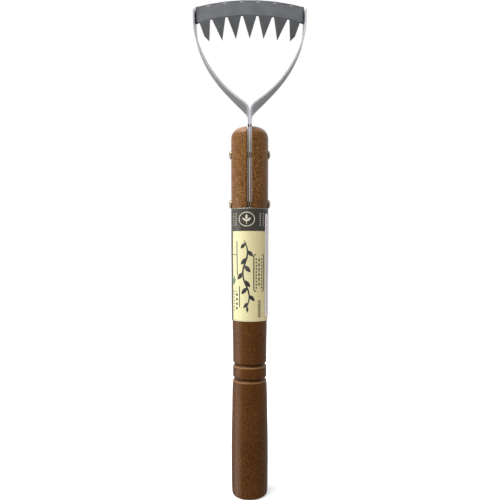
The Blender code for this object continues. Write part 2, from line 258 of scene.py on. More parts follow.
def addFloor():
    shape = bmesh.new()
    bmesh.ops.create_grid(shape, x_segments=1, y_segments=1, size=worldSettings["floorSize"])
    mesh = bpy.data.meshes.new("floor")
    shape.to_mesh(mesh)
    shape.free()
    floor = bpy.data.objects.new("floor", mesh)
    bpy.context.scene.collection.objects.link(floor)
    pale, wire, shader = newMaterial("pale floor")
    shader.inputs["Base Color"].default_value = (0.93, 0.93, 0.93, 1.0)
    shader.inputs["Roughness"].default_value = 1.0
    shader.inputs["Specular IOR Level"].default_value = 0.0
    shader.inputs["Emission Color"].default_value = (1.0, 1.0, 1.0, 1.0)
    seen = wire.nodes.new("ShaderNodeLightPath").outputs["Is Camera Ray"]
    wire.feed(shader.inputs["Emission Strength"], wire.math("MULTIPLY", seen, worldSettings["floorShown"]))
    mesh.materials.append(pale)
    floor.visible_glossy = False         # polished faces see the studio, not the white floor


addCamera()
setWorld()
addSun()
for softbox in softboxes:
    addSoftbox(*softbox)
addFloor()
bpy.context.scene.view_settings.view_transform = "Standard"
print("camera, light and floor ready")


# effects that several materials share

def makeStreaks():
    # fine lines that run along one direction, and soft cloudy tone over them
    group, start, end = newGroup(
        "streaks",
        [("Vector", "NodeSocketVector", None), ("Stretch", "NodeSocketVector", (1.0, 1.0, 1.0)),
         ("Cloud Size", "NodeSocketFloat", 60.0)],
        [("Lines", "NodeSocketFloat"), ("Clouds", "NodeSocketFloat")])
    wire = Wiring(group)
    stretched = wire.stretch(start.outputs["Vector"], start.outputs["Stretch"])
    wire.feed(end.inputs["Lines"], wire.noise(stretched, 1.0, 4.0, 0.65))
    clouds = wire.noise(start.outputs["Vector"], start.outputs["Cloud Size"], 3.0, 0.55)
    wire.feed(end.inputs["Clouds"], clouds)
    return group


def makeEdgeWear():
    # 1 on raised edges, 0 on flat and hollow places, broken up by a fine noise
    group, start, end = newGroup(
        "edge wear",
        [("Vector", "NodeSocketVector", None), ("Start", "NodeSocketFloat", 0.52),
         ("Full", "NodeSocketFloat", 0.6)],
        [("Mask", "NodeSocketFloat")])
    wire = Wiring(group)
    geometry = group.nodes.new("ShaderNodeNewGeometry")
    raised = wire.spread(geometry.outputs["Pointiness"], start.outputs["Start"], start.outputs["Full"])
    broken = wire.spread(wire.noise(start.outputs["Vector"], 700.0, 3.0), 0.35, 0.65)
    wire.feed(end.inputs["Mask"], wire.math("MULTIPLY", raised, broken, clamp=True))
    return group


def makeSmudges():
    # wide handling marks
    group, start, end = newGroup(
        "smudges",
        [("Vector", "NodeSocketVector", None), ("Size", "NodeSocketFloat", 45.0)],
        [("Marks", "NodeSocketFloat")])
    wire = Wiring(group)
    marks = wire.noise(start.outputs["Vector"], start.outputs["Size"], 3.0, 0.6)
    wire.feed(end.inputs["Marks"], wire.spread(marks, 0.35, 0.7))
    return group


streaks = makeStreaks()
edgeWear = makeEdgeWear()
smudges = makeSmudges()


# handle: turned, stained and lacquered wood

handleSettings = {
    # height and radius of the smooth stretches, butt to top
    "stations": [(0.0, 12.1), (10.0, 12.35), (31.0, 12.5), (60.0, 12.05), (72.0, 11.85), (79.3, 11.5),
                 (94.0, 11.45), (119.0, 11.8), (194.0, 12.25), (197.5, 12.6), (235.0, 12.75), (250.3, 12.75)],
    "profileStep": 3.0,
    "buttFillet": 2.2,
    "topFillet": 7.5,
    "grooves": (79.3, 89.2),
    # height from the groove's middle and depth
    "grooveShape": [(-1.9, 0.0), (-1.35, 0.1), (-0.35, 1.05), (0.0, 1.3), (0.35, 1.05), (1.35, 0.1),
                    (1.9, 0.0)],
    "grooveMargin": 2.4,
    "turnSteps": 128,
    "slotLeft": 1.9,                     # the saw cut is a little wider than the straps at the left
    "slotRight": 1.5,
    "slotDepth": 0.5,                    # how far back the wider part goes
    "cutReach": 20.0,
    "cutTop": 270.0,
    "clearance": 0.25,
    "edgeRound": 0.2,
}


def smoothBetween(stations, place):
    # monotone curve through (place, value) stations, level at crests, dips and ends
    if place <= stations[0][0]:
        return stations[0][1]
    steps = [(b[1] - a[1]) / (b[0] - a[0]) for a, b in zip(stations, stations[1:])]
    slopes = [0.0]
    for before, after in zip(steps, steps[1:]):
        slopes.append(2.0 * before * after / (before + after) if before * after > 0.0 else 0.0)
    slopes.append(0.0)
    for index, (low, high) in enumerate(zip(stations, stations[1:])):
        if place <= high[0]:
            length = high[0] - low[0]
            share = (place - low[0]) / length
            rise = share * share * (3.0 - 2.0 * share)
            start = share * (1.0 - share) ** 2 * length * slopes[index]
            finish = share * share * (share - 1.0) * length * slopes[index + 1]
            return low[1] + (high[1] - low[1]) * rise + start + finish
    return stations[-1][1]


def gripRadius(height):
    return smoothBetween(handleSettings["stations"], height)


def linkPiece(name, mesh, materials=()):
    piece = bpy.data.objects.new(name, mesh)
    bpy.context.scene.collection.objects.link(piece)
    for material in materials:
        mesh.materials.append(material)
    return piece


def shapePiece(name, shape, materials=()):
    mesh = bpy.data.meshes.new(name)
    shape.to_mesh(mesh)
    shape.free()
    return linkPiece(name, mesh, materials)


def freeze(piece):
    # the stack's result becomes the mesh
    bpy.context.view_layer.update()
    evaluated = piece.evaluated_get(bpy.context.evaluated_depsgraph_get())
    mesh = bpy.data.meshes.new_from_object(evaluated)
    piece.modifiers.clear()
    piece.data = mesh


def addModifier(piece, kind, **values):
    modifier = piece.modifiers.new(kind.lower(), kind)
    for name, value in values.items():
        setattr(modifier, name, value)
    return modifier


def turnedPiece(name, profile, steps, materials=()):
    # (radius, height) points from top to bottom, turned about Z
    mesh = bpy.data.meshes.new(name)
    points = [(radius * mm, 0.0, height * mm) for radius, height in profile]
    mesh.from_pydata(points, [(i, i + 1) for i in range(len(points) - 1)], [])
    piece = linkPiece(name, mesh, materials)
    addModifier(piece, "SCREW", steps=steps, render_steps=steps, axis="Z", use_merge_vertices=True,
                merge_threshold=0.00001, use_smooth_shade=True)
    return piece


def roundEdges(piece, width, segments=2, degrees=60.0, material=-1):
    addModifier(piece, "BEVEL", width=width * mm, segments=segments, limit_method="ANGLE",
                angle_limit=math.radians(degrees), use_clamp_overlap=False, material=material)


def shadeRound(piece, degrees=35.0):
    piece.data.shade_smooth()
    piece.data.set_sharp_from_angle(angle=math.radians(degrees))


def cutAway(piece, cutters):
    for cutter in cutters:
        addModifier(piece, "BOOLEAN", operation="DIFFERENCE", solver="EXACT", object=cutter)
    freeze(piece)
    for cutter in cutters:
        bpy.data.objects.remove(cutter, do_unlink=True)


def layAlongX(piece, y, z):
    # a piece turned about Z is laid along X, through a point of the tool
    freeze(piece)
    turnOver = Matrix.Rotation(math.pi / 2.0, 4, "Y")
    piece.data.transform(Matrix.Translation((0.0, y, z)) @ turnOver)


def mirrorX(piece):
    piece.data.transform(Matrix.Scale(-1.0, 4, (1.0, 0.0, 0.0)))
    piece.data.flip_normals()


def middle(node):
    low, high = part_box(node)
    return (low + high) / 2.0


def handleBores(profile, steps):
    # one cutter for each rivet through the handle
    cutters = []
    for node in ("lower_handle_rivet", "upper_handle_rivet"):
        cutters.append(turnedPiece("cutter", profile, steps))
        layAlongX(cutters[-1], 0.0, middle(node).z)
    return cutters


def flushBores(sideName):
    # cutters for the rivets through a strap's top and the blade's flange
    radius = rivetSettings["flushShank"] + rivetSettings["flushClearance"]
    inner, outer = rivetSettings["flushCut"]
    cutters = []
    for ending in ("front", "rear"):
        place = middle(f"{sideName}_blade_rivet_{ending}")
        profile = [(0.0, outer), (radius, outer), (radius, inner), (0.0, inner)]
        cutter = turnedPiece("cutter", profile, rivetSettings["flushSteps"])
        layAlongX(cutter, place.y, place.z)
        if sideName == "left":
            mirrorX(cutter)
        cutters.append(cutter)
    return cutters


def gripProfile():
    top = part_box("handle")[1].z / mm
    butt, shoulder = handleSettings["buttFillet"], handleSettings["topFillet"]
    profile = [(0.0, top)]
    for step in range(11):
        turn = 0.5 * math.pi * step / 10.0
        profile.append((gripRadius(top) - shoulder * (1.0 - math.sin(turn)),
                        top - shoulder * (1.0 - math.cos(turn))))
    sides = []
    height = top - shoulder - 1.0
    while height > butt + 1.0:
        if all(abs(height - groove) > handleSettings["grooveMargin"] for groove in handleSettings["grooves"]):
            sides.append((gripRadius(height), height))
        height -= handleSettings["profileStep"]
    for groove in handleSettings["grooves"]:
        sides += [(gripRadius(groove) - depth, groove + offset)
                  for offset, depth in handleSettings["grooveShape"]]
    profile += sorted(sides, key=lambda point: -point[1])
    for step in range(8):
        turn = 0.5 * math.pi * step / 7.0
        profile.append((gripRadius(0.0) - butt * (1.0 - math.cos(turn)), butt * (1.0 - math.sin(turn))))
    return profile + [(0.0, 0.0)]


def boxCutter(low, high):
    # corners in metres
    shape = bmesh.new()
    bmesh.ops.create_cube(shape, size=1.0)
    bmesh.ops.scale(shape, vec=Vector(high) - Vector(low), verts=shape.verts)
    bmesh.ops.translate(shape, vec=(Vector(high) + Vector(low)) / 2.0, verts=shape.verts)
    return shapePiece("cutter", shape)


def makeHandle(wood):
    handle = turnedPiece("wood_handle", gripProfile(), handleSettings["turnSteps"], [wood])
    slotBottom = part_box("left_arm")[0].z - handleSettings["clearance"] * mm
    right, left, deep, reach, top = (handleSettings[key] * mm for key in (
        "slotRight", "slotLeft", "slotDepth", "cutReach", "cutTop"))
    cutters = [boxCutter((-right, -reach, slotBottom), (right, reach, top)),
               boxCutter((-left, -reach, slotBottom), (0.0, deep, top))]
    bore, spot, seat = (rivetSettings[key] + change * handleSettings["clearance"]
                        for key, change in (("shank", 1.0), ("head", 1.0), ("seat", -1.0)))
    end = rivetSettings["cutEnd"]
    profile = [(0.0, end), (spot, end), (spot, seat), (bore, seat),
               (bore, -seat), (spot, -seat), (spot, -end), (0.0, -end)]
    cutters += handleBores(profile, rivetSettings["turnSteps"])
    cutAway(handle, cutters)
    shadeRound(handle, 35.0)
    roundEdges(handle, handleSettings["edgeRound"])
    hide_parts("handle")
    return handle


def makeWood():
    wood, wire, shader = newMaterial("stained wood")
    place = wire.place()
    x, y, z = wire.split(place)
    share = wire.math("DIVIDE", z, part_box("handle")[1].z)
    # growth rings round a pith that lies outside the blank
    wobble = wire.math("MULTIPLY", wire.noise(wire.stretch(place, (60.0, 60.0, 9.0)), 1.0, 2.0), 0.004)
    away = wire.math("POWER", wire.math("ADD", wire.math("POWER", wire.math("ADD", x, 0.034), 2.0),
                                        wire.math("POWER", wire.math("SUBTRACT", y, 0.025), 2.0)), 0.5)
    rings = wire.math("SINE", wire.math("MULTIPLY", wire.math("ADD", away, wobble), 2.0 * math.pi / 0.0026))
    pore = wire.group(streaks, Vector=place, Stretch=(2000.0, 2000.0, 1500.0), **{"Cloud Size": 40.0})
    fleck = wire.group(streaks, Vector=place, Stretch=(1500.0, 1500.0, 1500.0), **{"Cloud Size": 1050.0})
    pores = wire.spread(pore["Lines"], 0.495, 0.43)
    specks = wire.spread(fleck["Lines"], 0.48, 0.56)
    # darker towards the bottom: the wood's own stained colour with painted shade, as less light reaches the
    # lower handle
    stainWithFalloff = wire.ramp(share, [(0.0, (0.0610, 0.0178, 0.0014)), (0.45, (0.0720, 0.0215, 0.0020)),
                              (0.70, (0.0860, 0.0320, 0.0068)), (0.84, (0.1090, 0.0435, 0.0115)),
                              (1.0, (0.1430, 0.0610, 0.0175))])
    # the grain is plainest near the top, where the colour is lightest
    plain = wire.spread(share, 0.5, 0.85, 0.2, 1.0)
    light = wire.mix(wire.math("MULTIPLY", specks, plain), stainWithFalloff,
                     wire.mix(0.46, stainWithFalloff, (0.62, 0.29, 0.085, 1.0)))
    cloud = wire.math("MULTIPLY_ADD", fleck["Clouds"], 0.7, wire.math("MULTIPLY", pore["Clouds"], 0.3))
    tone = wire.spread(wire.math("ADD", cloud, wire.math("MULTIPLY", rings, 0.02)), 0.36, 0.64, 0.70, 1.21)
    dark = wire.mix(wire.math("MULTIPLY", pores, wire.math("MULTIPLY", plain, 0.9)), wire.scale(light, tone),
                    (0.040, 0.014, 0.003, 1.0))
    # painted shade: each groove is darkened at its bottom, just under the upper lip; its lower lip is made
    # light, partly rubbed wear and partly a painted highlight
    for height in handleSettings["grooves"]:
        fromGrooveShade = wire.math("ABSOLUTE", wire.math("SUBTRACT", z, (height + 0.35) * mm))
        dark = wire.mix(wire.spread(fromGrooveShade, 0.0008, 0.0003, 0.0, 0.85), dark, (0.010, 0.004, 0.0015, 1.0))
        gap = wire.math("ABSOLUTE", wire.math("SUBTRACT", z, (height - 1.45) * mm))
        lip = wire.spread(gap, 0.0006, 0.0001)
        rubbed = wire.math("MULTIPLY", lip, wire.spread(fleck["Lines"], 0.3, 0.6, 0.3, 0.8))
        dark = wire.mix(rubbed, dark, (0.34, 0.175, 0.075, 1.0))
    # painted highlight: the round shoulder is made paler, where the light from above catches it in the front
    # view
    shoulder = wire.spread(share, 0.980, 0.996, 0.0, 0.85)
    dark = wire.mix(shoulder, dark, (0.46, 0.27, 0.175, 1.0))
    worn = wire.group(edgeWear, Vector=place, Start=0.55, Full=0.66)["Mask"]
    marks = wire.group(smudges, Vector=place, Size=45.0)
    rough = wire.math("MULTIPLY_ADD", marks["Marks"], 0.08, 0.24)
    relief = wire.math("SUBTRACT", wire.math("MULTIPLY", fleck["Lines"], 0.35), pores)
    finishSurface(wire, shader, wire.mix(wire.math("MULTIPLY", worn, 0.25), dark, (0.36, 0.19, 0.085, 1.0)),
                  wire.math("MULTIPLY_ADD", pores, 0.15, rough), wire.bump(relief, 0.3, 0.0001))
    shader.inputs["Specular IOR Level"].default_value = 0.2
    shader.inputs["Specular Tint"].default_value = (1.0, 0.78, 0.58, 1.0)
    shader.inputs["Coat Weight"].default_value = 0.12
    shader.inputs["Coat Roughness"].default_value = 0.2
    shader.inputs["Coat IOR"].default_value = 1.4
    return wood


# brass rivets through the handle, flush steel rivets in the blade's flanges

rivetSettings = {
    "shank": 1.9,
    "head": 3.05,
    "seat": 12.35,
    "rim": 0.35,
    "domeSteps": 10,
    "turnSteps": 48,
    "flushShank": 1.2,
    "flushHead": 1.9,
    "flushHeadDepth": 0.9,
    "flushClearance": 0.1,
    "flushCut": (30.0, 50.0),
    "flushSteps": 32,
    "cutEnd": 18.0,
}


def makeBrass():
    brass, wire, shader = newMaterial("pale brass")
    place = wire.place()
    marks = wire.group(smudges, Vector=place, Size=320.0)
    clean = wire.mix(marks["Marks"], (0.40, 0.33, 0.21, 1.0), (0.25, 0.185, 0.105, 1.0))
    worn = wire.group(edgeWear, Vector=place, Start=0.52, Full=0.6)["Mask"]
    finishSurface(wire, shader, wire.mix(worn, clean, (0.50, 0.44, 0.31, 1.0)),
                  wire.math("MULTIPLY_ADD", marks["Marks"], 0.2, 0.24),
                  wire.bump(marks["Marks"], 0.2, 0.00008), metal=1.0)
    return brass


def makeHandleRivet(name, node, brass):
    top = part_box(node)[1].x / mm
    seat, rim, head = rivetSettings["seat"], rivetSettings["rim"], rivetSettings["head"]
    dome = top - seat - rim
    steps = rivetSettings["domeSteps"]
    half = []
    for step in range(steps + 1):
        turn = 0.5 * math.pi * step / steps
        half.append((head * math.sin(turn), seat + rim + dome * math.cos(turn)))
    half += [(head, seat + 0.1), (head - 0.1, seat), (rivetSettings["shank"], seat)]
    profile = half + [(radius, -height) for radius, height in reversed(half)]
    rivet = turnedPiece(name, profile, rivetSettings["turnSteps"], [brass])
    layAlongX(rivet, 0.0, middle(node).z)
    shadeRound(rivet)
    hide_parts(node)
    return rivet


def makeFlushRivet(name, node, steel):
    low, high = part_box(node)
    inner, outer = sorted((abs(low.x) / mm, abs(high.x) / mm))
    shank, head, depth = (rivetSettings[key] for key in ("flushShank", "flushHead", "flushHeadDepth"))
    seat = inner + depth
    profile = [(0.0, outer), (shank - 0.15, outer), (shank, outer - 0.15), (shank, seat), (head, seat),
               (head, seat - 0.3), (0.85 * head, seat - 0.6), (0.55 * head, inner + 0.06), (0.0, inner)]
    rivet = turnedPiece(name, profile, rivetSettings["flushSteps"], [steel])
    layAlongX(rivet, middle(node).y, middle(node).z)
    if high.x < 0.0:
        mirrorX(rivet)
    shadeRound(rivet)
    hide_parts(node)
    return rivet


# straps: two plated steel strips, back to back in the handle, spread into the fork

strapSettings = {
    "thickness": 1.2,
    "halfGap": 0.125,
    "neckHeight": 261.6,
    # length of each stretch above the neck, and the degrees that it turns outwards
    "bends": [(5.0, 45.0), (5.5, 5.0), (14.0, -6.0), (16.0, -11.0), (16.0, -12.0), (12.0, -12.5),
              (8.0, -8.5), (6.0, 0.0)],
    "degreesPerStep": 1.5,
    "tangStep": 2.5,
    "cutReach": 6.0,
    "boreSteps": 40,
    # distance along the strip from the neck, and its width there
    "widths": [(-80.0, 23.6), (-66.0, 23.6), (-60.0, 24.6), (-8.0, 25.0), (1.0, 25.99), (16.0, 18.0),
               (30.0, 14.8), (80.0, 14.4)],
    "edgeRound": 0.22,
    # heights in metres: where the tang's painted shade starts, from none to full, where it deepens, the
    # near-black mark where the strips enter the wood
    "tangShadeEdge": (0.2515, 0.2485),
    "tangShadeDeep": (0.250, 0.238, 0.205),
    "mouthMark": 0.2492,
}


def strapPath():
    # centre line of the right strip: along, x, z
    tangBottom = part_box("right_arm")[0].z / mm
    neck = strapSettings["neckHeight"]
    start = neck - 0.5 * strapSettings["bends"][0][0]
    x = strapSettings["halfGap"] + 0.5 * strapSettings["thickness"]
    path = []
    height = tangBottom
    while height < start - 1.0:
        path.append((height - neck, x, height))
        height += strapSettings["tangStep"]
    path.append((start - neck, x, start))
    along, z, heading = start - neck, start, 0.0
    for length, turn in strapSettings["bends"]:
        pieces = max(2, math.ceil(abs(turn) / strapSettings["degreesPerStep"]))
        for _ in range(pieces):
            step = length / pieces
            halfway = heading + 0.5 * math.radians(turn) / pieces
            x += step * math.sin(halfway)
            z += step * math.cos(halfway)
            heading += math.radians(turn) / pieces
            along += step
            path.append((along, x, z))
    return path


def makeStrap(name, node, side, steel, edge):
    shape = bmesh.new()
    uv = shape.loops.layers.uv.new("strip")
    columns = (-1.0, -0.64, 0.64, 1.0)
    rows = []
    for along, x, z in strapPath():
        half = 0.5 * smoothBetween(strapSettings["widths"], along)
        rows.append([(shape.verts.new((side * x * mm, column * half * mm, z * mm)),
                      (column * half * mm, along * mm)) for column in columns])
    for low, high in zip(rows, rows[1:]):
        for near in range(len(columns) - 1):
            corners = [low[near], low[near + 1], high[near + 1], high[near]]
            if side < 0.0:
                corners.reverse()
            face = shape.faces.new([vert for vert, _ in corners])
            for loop, (_, place) in zip(face.loops, corners):
                loop[uv].uv = place
    strap = shapePiece(name, shape, [steel, edge])
    addModifier(strap, "SOLIDIFY", thickness=strapSettings["thickness"] * mm, offset=0.0,
                use_even_offset=True, material_offset_rim=1)
    radius = rivetSettings["shank"] + handleSettings["clearance"]
    reach = strapSettings["cutReach"]
    cutters = handleBores([(0.0, reach), (radius, reach), (radius, -reach), (0.0, -reach)],
                          strapSettings["boreSteps"])
    cutters += flushBores("left" if side < 0.0 else "right")
    cutAway(strap, cutters)
    shadeRound(strap, 30.0)
    roundEdges(strap, strapSettings["edgeRound"], 3, material=1)
    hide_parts(node)
    return strap


def makePlatedSteel(name, coordinate, dark, light, stretch=(5200.0, 160.0, 160.0), shadedTang=False, metal=1.0,
                    relief=0.12, rough=0.32):
    steel, wire, shader = newMaterial(name)
    place = wire.place(coordinate)
    body = wire.place()
    brushed = wire.group(streaks, Vector=place, Stretch=stretch, **{"Cloud Size": 90.0})
    marks = wire.group(smudges, Vector=body, Size=110.0)
    tone = wire.spread(brushed["Clouds"], 0.3, 0.7)
    plain = wire.mix(tone, (*dark, 1.0), (*light, 1.0))
    lined = wire.mix(wire.spread(brushed["Lines"], 0.55, 0.7, 0.0, 0.4), plain,
                     (*[value * 0.8 for value in dark], 1.0))
    x, _, height = wire.split(body)
    if metal > 0.5:
        # painted shade: the right strip and its rivets are darkened and browned, as less light falls on them
        # in the front view
        lined = wire.scale(lined, wire.spread(x, 0.001, 0.006, 1.0, 0.86))
        lined = wire.mix(wire.spread(x, 0.008, 0.022, 0.0, 0.5), lined, (0.19, 0.165, 0.14, 1.0))
    else:
        # painted shade and light on the rims: the left one is darkened, the right one lightened, to suit the
        # light of the front view
        lined = wire.scale(lined, wire.spread(x, -0.004, 0.004, 0.88, 1.12))
    if shadedTang:
        # painted shade: the tang is darkened and browned where it sits recessed in the wood's slot
        inWood = wire.spread(height, *strapSettings["tangShadeEdge"])
        start, thick, full = strapSettings["tangShadeDeep"]
        deeper = wire.math("ADD", wire.spread(height, start, thick, 0.25, 0.85),
                           wire.spread(height, thick, full, 0.0, 0.15))
        lined = wire.mix(wire.math("MULTIPLY", inWood, deeper), lined, (0.110, 0.076, 0.047, 1.0))
        # a near-black mark on each strap where it enters the wood, clear of the seam between the strips
        fromMouth = wire.math("ABSOLUTE", wire.math("SUBTRACT", height, strapSettings["mouthMark"]))
        fromSeam = wire.math("ABSOLUTE", x)
        mouthMark = wire.math("MULTIPLY", wire.spread(fromMouth, 0.0012, 0.0006),
                            wire.spread(fromSeam, 0.0002, 0.0005))
        lined = wire.mix(mouthMark, lined, (0.012, 0.009, 0.007, 1.0))
    rougher = wire.math("MULTIPLY_ADD", marks["Marks"], 0.10, rough)
    finishSurface(wire, shader, lined, wire.math("MULTIPLY_ADD", brushed["Lines"], 0.12, rougher),
                  wire.bump(brushed["Lines"], relief, 0.00005), metal)
    shader.inputs["Specular IOR Level"].default_value = 0.25
    return steel


# blade: a plate cut round one centre, its ends folded back as flanges

bladeSettings = {
    "thickness": 1.6,
    "front": -7.3,
    "radius": 142.0,
    "band": 9.9,
    "teeth": 7,
    "pitch": 4.56,
    "toothLength": 15.5,
    "valley": 0.8,
    "outerTip": 13.35,
    "outerTipShorter": 1.3,
    "outerKink": (30.6, 310.9),
    "flangeLength": 10.0,
    "foldTop": 1.9,
    "foldBottom": 3.0,
    "flangeFoot": 319.8,
    "flangeRise": 6.0,
    "flangeFall": 1.5,
    "foldSteps": 12,
    "foldLevels": 8,
    "gap": 0.25,
    # ground places: depth of the scallops along the top, half width of what is left between
    # them, and how much of the thickness a tooth's tip has lost
    "scallop": 1.0,
    "scallopCut": 0.14,
    "land": 0.36,
    "landDrop": 0.9,
    "tipCut": 0.45,
    "underScallops": 1.7,
    "overTeeth": 0.6,
    "scallopSteps": 10,
    "landWeight": 0.97,
    "kinkDrop": 10.0,
    "valleyAngles": (-80.0, -55.0, -28.0, 28.0, 55.0, 80.0),
    # how far below the edge a land's painted glint lies, and where across the head the folds' roughness and
    # painted shade and light begin and are full
    "landInset": 1.1,
    "foldTone": (33.6, 36.0),
    "edgeRound": 0.12,
}


def bladePoint(radius, degrees):
    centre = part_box("blade")[1].z / mm - bladeSettings["radius"]
    turn = math.radians(degrees)
    return (radius * math.sin(turn), centre + radius * math.cos(turn))


def flangeFace():
    # outer face of a flange, a gap inside the strap
    half = 0.5 * strapSettings["thickness"]
    inner = min(x - half for _, x, z in strapPath() if z > bladeSettings["flangeFoot"])
    return inner - bladeSettings["gap"]


def makeBlade(band, ground, edge):
    size = bladeSettings
    shape = bmesh.new()
    weights = shape.verts.layers.deform.verify()
    backY = size["front"] + size["thickness"]
    root = size["radius"] - size["band"]
    face = flangeFace()

    def corner(x, z, share=1.0, y=backY):
        vert = shape.verts.new((x * mm, y * mm, z * mm))
        vert[weights][0] = share
        return vert

    def fill(corners, material):
        made = shape.faces.new(corners)
        made.material_index = material
        return made

    def tooth(radius):
        return 1.0 - size["tipCut"] * (root - radius) / size["toothLength"]

    # the right fold, top to foot
    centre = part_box("blade")[1].z / mm - size["radius"]
    levels = []
    for level in range(size["foldLevels"]):
        share = level / (size["foldLevels"] - 1)
        radius = size["foldTop"] + (size["foldBottom"] - size["foldTop"]) * share
        top = centre + math.sqrt(size["radius"] ** 2 - (face - size["foldTop"]) ** 2)
        levels.append((face - radius, top + (size["flangeFoot"] - top) * share, radius))
    corners = {side: [corner(side * x, z) for x, z, _ in levels] for side in (-1.0, 1.0)}

    # scallops along the top edge, the band under them and the arc through the roots
    limit = math.degrees(math.asin(levels[0][0] / size["radius"]))
    halfCount = size["teeth"] // 2
    upper, lower, under, over, arc, lands = [], [], [], [], [], []

    def addColumn(degrees, share, drop):
        # points down one line of the band; where nothing is ground away (no share), the lower
        # point is the edge itself
        top = size["radius"]
        upper.append(None if share is None else corner(*bladePoint(top, degrees), share))
        lower.append(corner(*bladePoint(top - drop, degrees)))
        under.append(corner(*bladePoint(top - size["underScallops"], degrees)))
        over.append(corner(*bladePoint(root + size["overTeeth"], degrees)))
        arc.append(corner(*bladePoint(root, degrees)))

    for index in range(-halfCount, halfCount + 1):
        first = (index - 0.5) * size["pitch"] + size["land"]
        last = (index + 0.5) * size["pitch"] - size["land"]
        for step in range(size["scallopSteps"] + 1):
            share = step / size["scallopSteps"]
            degrees = first + (last - first) * share
            lens = 1.0 - (2.0 * share - 1.0) ** 2
            if abs(degrees) <= limit - 0.3:
                addColumn(degrees, 1.0 - size["scallopCut"] * lens if lens > 0.0 else None,
                          size["scallop"] * lens)
        if index < halfCount:
            lands.append(len(arc))
            addColumn((index + 0.5) * size["pitch"], size["landWeight"], size["landDrop"])
    for here in range(len(arc) - 1):
        after = here + 1
        rim = [upper[here], upper[after], lower[after], lower[here]]
        fill([vert for vert in rim if vert is not None], 2)
        for high, low in ((lower, under), (under, over), (over, arc)):
            fill([high[here], high[after], low[after], low[here]], 0)
    for side, index in ((-1.0, 0), (1.0, -1)):
        fold = corners[side]
        rim = [vert for vert in (fold[0], upper[index], lower[index]) if vert is not None]
        outer = rim + [under[index], over[index], arc[index]] + fold[:0:-1]
        fill(outer if side < 0.0 else outer[::-1], 0)

    # teeth under the arc
    tip = root - size["toothLength"]
    flanks = []
    for gap in range(size["teeth"] - 1):
        middleAngle = (gap - halfCount + 0.5) * size["pitch"]
        flank = []
        for degrees in size["valleyAngles"]:
            turn = math.radians(degrees)
            aside = math.degrees(size["valley"] * math.sin(turn) / root)
            radius = root - size["valley"] * (1.0 - math.cos(turn))
            flank.append(corner(*bladePoint(radius, middleAngle + aside), tooth(radius)))
        flanks.append(flank)
    kinkX, kinkZ = size["outerKink"]
    kinkShare = tooth(root - size["kinkDrop"])
    outerTip = tip + size["outerTipShorter"]
    for index in range(size["teeth"]):
        start = lands[index - 1] if index > 0 else 0
        finish = lands[index] if index < size["teeth"] - 1 else len(arc) - 1
        outline = arc[start:finish + 1]
        if index == size["teeth"] - 1:
            outline += [corners[1.0][-1], corner(kinkX, kinkZ, kinkShare),
                        corner(*bladePoint(outerTip, size["outerTip"]), tooth(outerTip))]
        else:
            outline += flanks[index][:3][::-1]
            if index == 0:
                outline += [corner(*bladePoint(outerTip, -size["outerTip"]), tooth(outerTip)),
                            corner(-kinkX, kinkZ, kinkShare), corners[-1.0][-1]]
            else:
                outline.append(corner(*bladePoint(tip, (index - halfCount) * size["pitch"]), tooth(tip)))
        if index > 0:
            outline += flanks[index - 1][3:][::-1]
        fill(outline, 1)

    # folds and flanges
    for side in (-1.0, 1.0):
        columns = [corners[side]]
        for step in range(1, size["foldSteps"] + 1):
            turn = 0.5 * math.pi * step / size["foldSteps"]
            column = []
            for x, z, radius in levels:
                inner = radius - size["thickness"]
                column.append(corner(side * (x + inner * math.sin(turn)), z, 1.0,
                                     size["front"] + radius - inner * math.cos(turn)))
            columns.append(column)
        last = []
        for level, (x, z, _) in enumerate(levels):
            share = level / (size["foldLevels"] - 1)
            lift = size["flangeRise"] * share - size["flangeFall"] * (1.0 - share)
            last.append(corner(side * (face - size["thickness"]), z + lift, 1.0,
                               size["front"] + size["flangeLength"]))
        columns.append(last)
        for near, far in zip(columns, columns[1:]):
            for level in range(size["foldLevels"] - 1):
                quad = [near[level], far[level], far[level + 1], near[level + 1]]
                fill(quad if side > 0.0 else quad[::-1], 0)
    bmesh.ops.recalc_face_normals(shape, faces=shape.faces)
    front = min(shape.faces, key=lambda made: made.calc_center_median().y)
    if front.normal.y > 0.0:
        bmesh.ops.reverse_faces(shape, faces=shape.faces)
    blade = shapePiece("toothed_blade", shape, [band, ground, edge])
    group = blade.vertex_groups.new(name="thickness")
    addModifier(blade, "SOLIDIFY", thickness=size["thickness"] * mm, offset=1.0, use_even_offset=True,
                vertex_group=group.name)
    cutAway(blade, flushBores("left") + flushBores("right"))
    shadeRound(blade, 9.0)
    roundEdges(blade, size["edgeRound"])
    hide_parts("blade")
    return blade


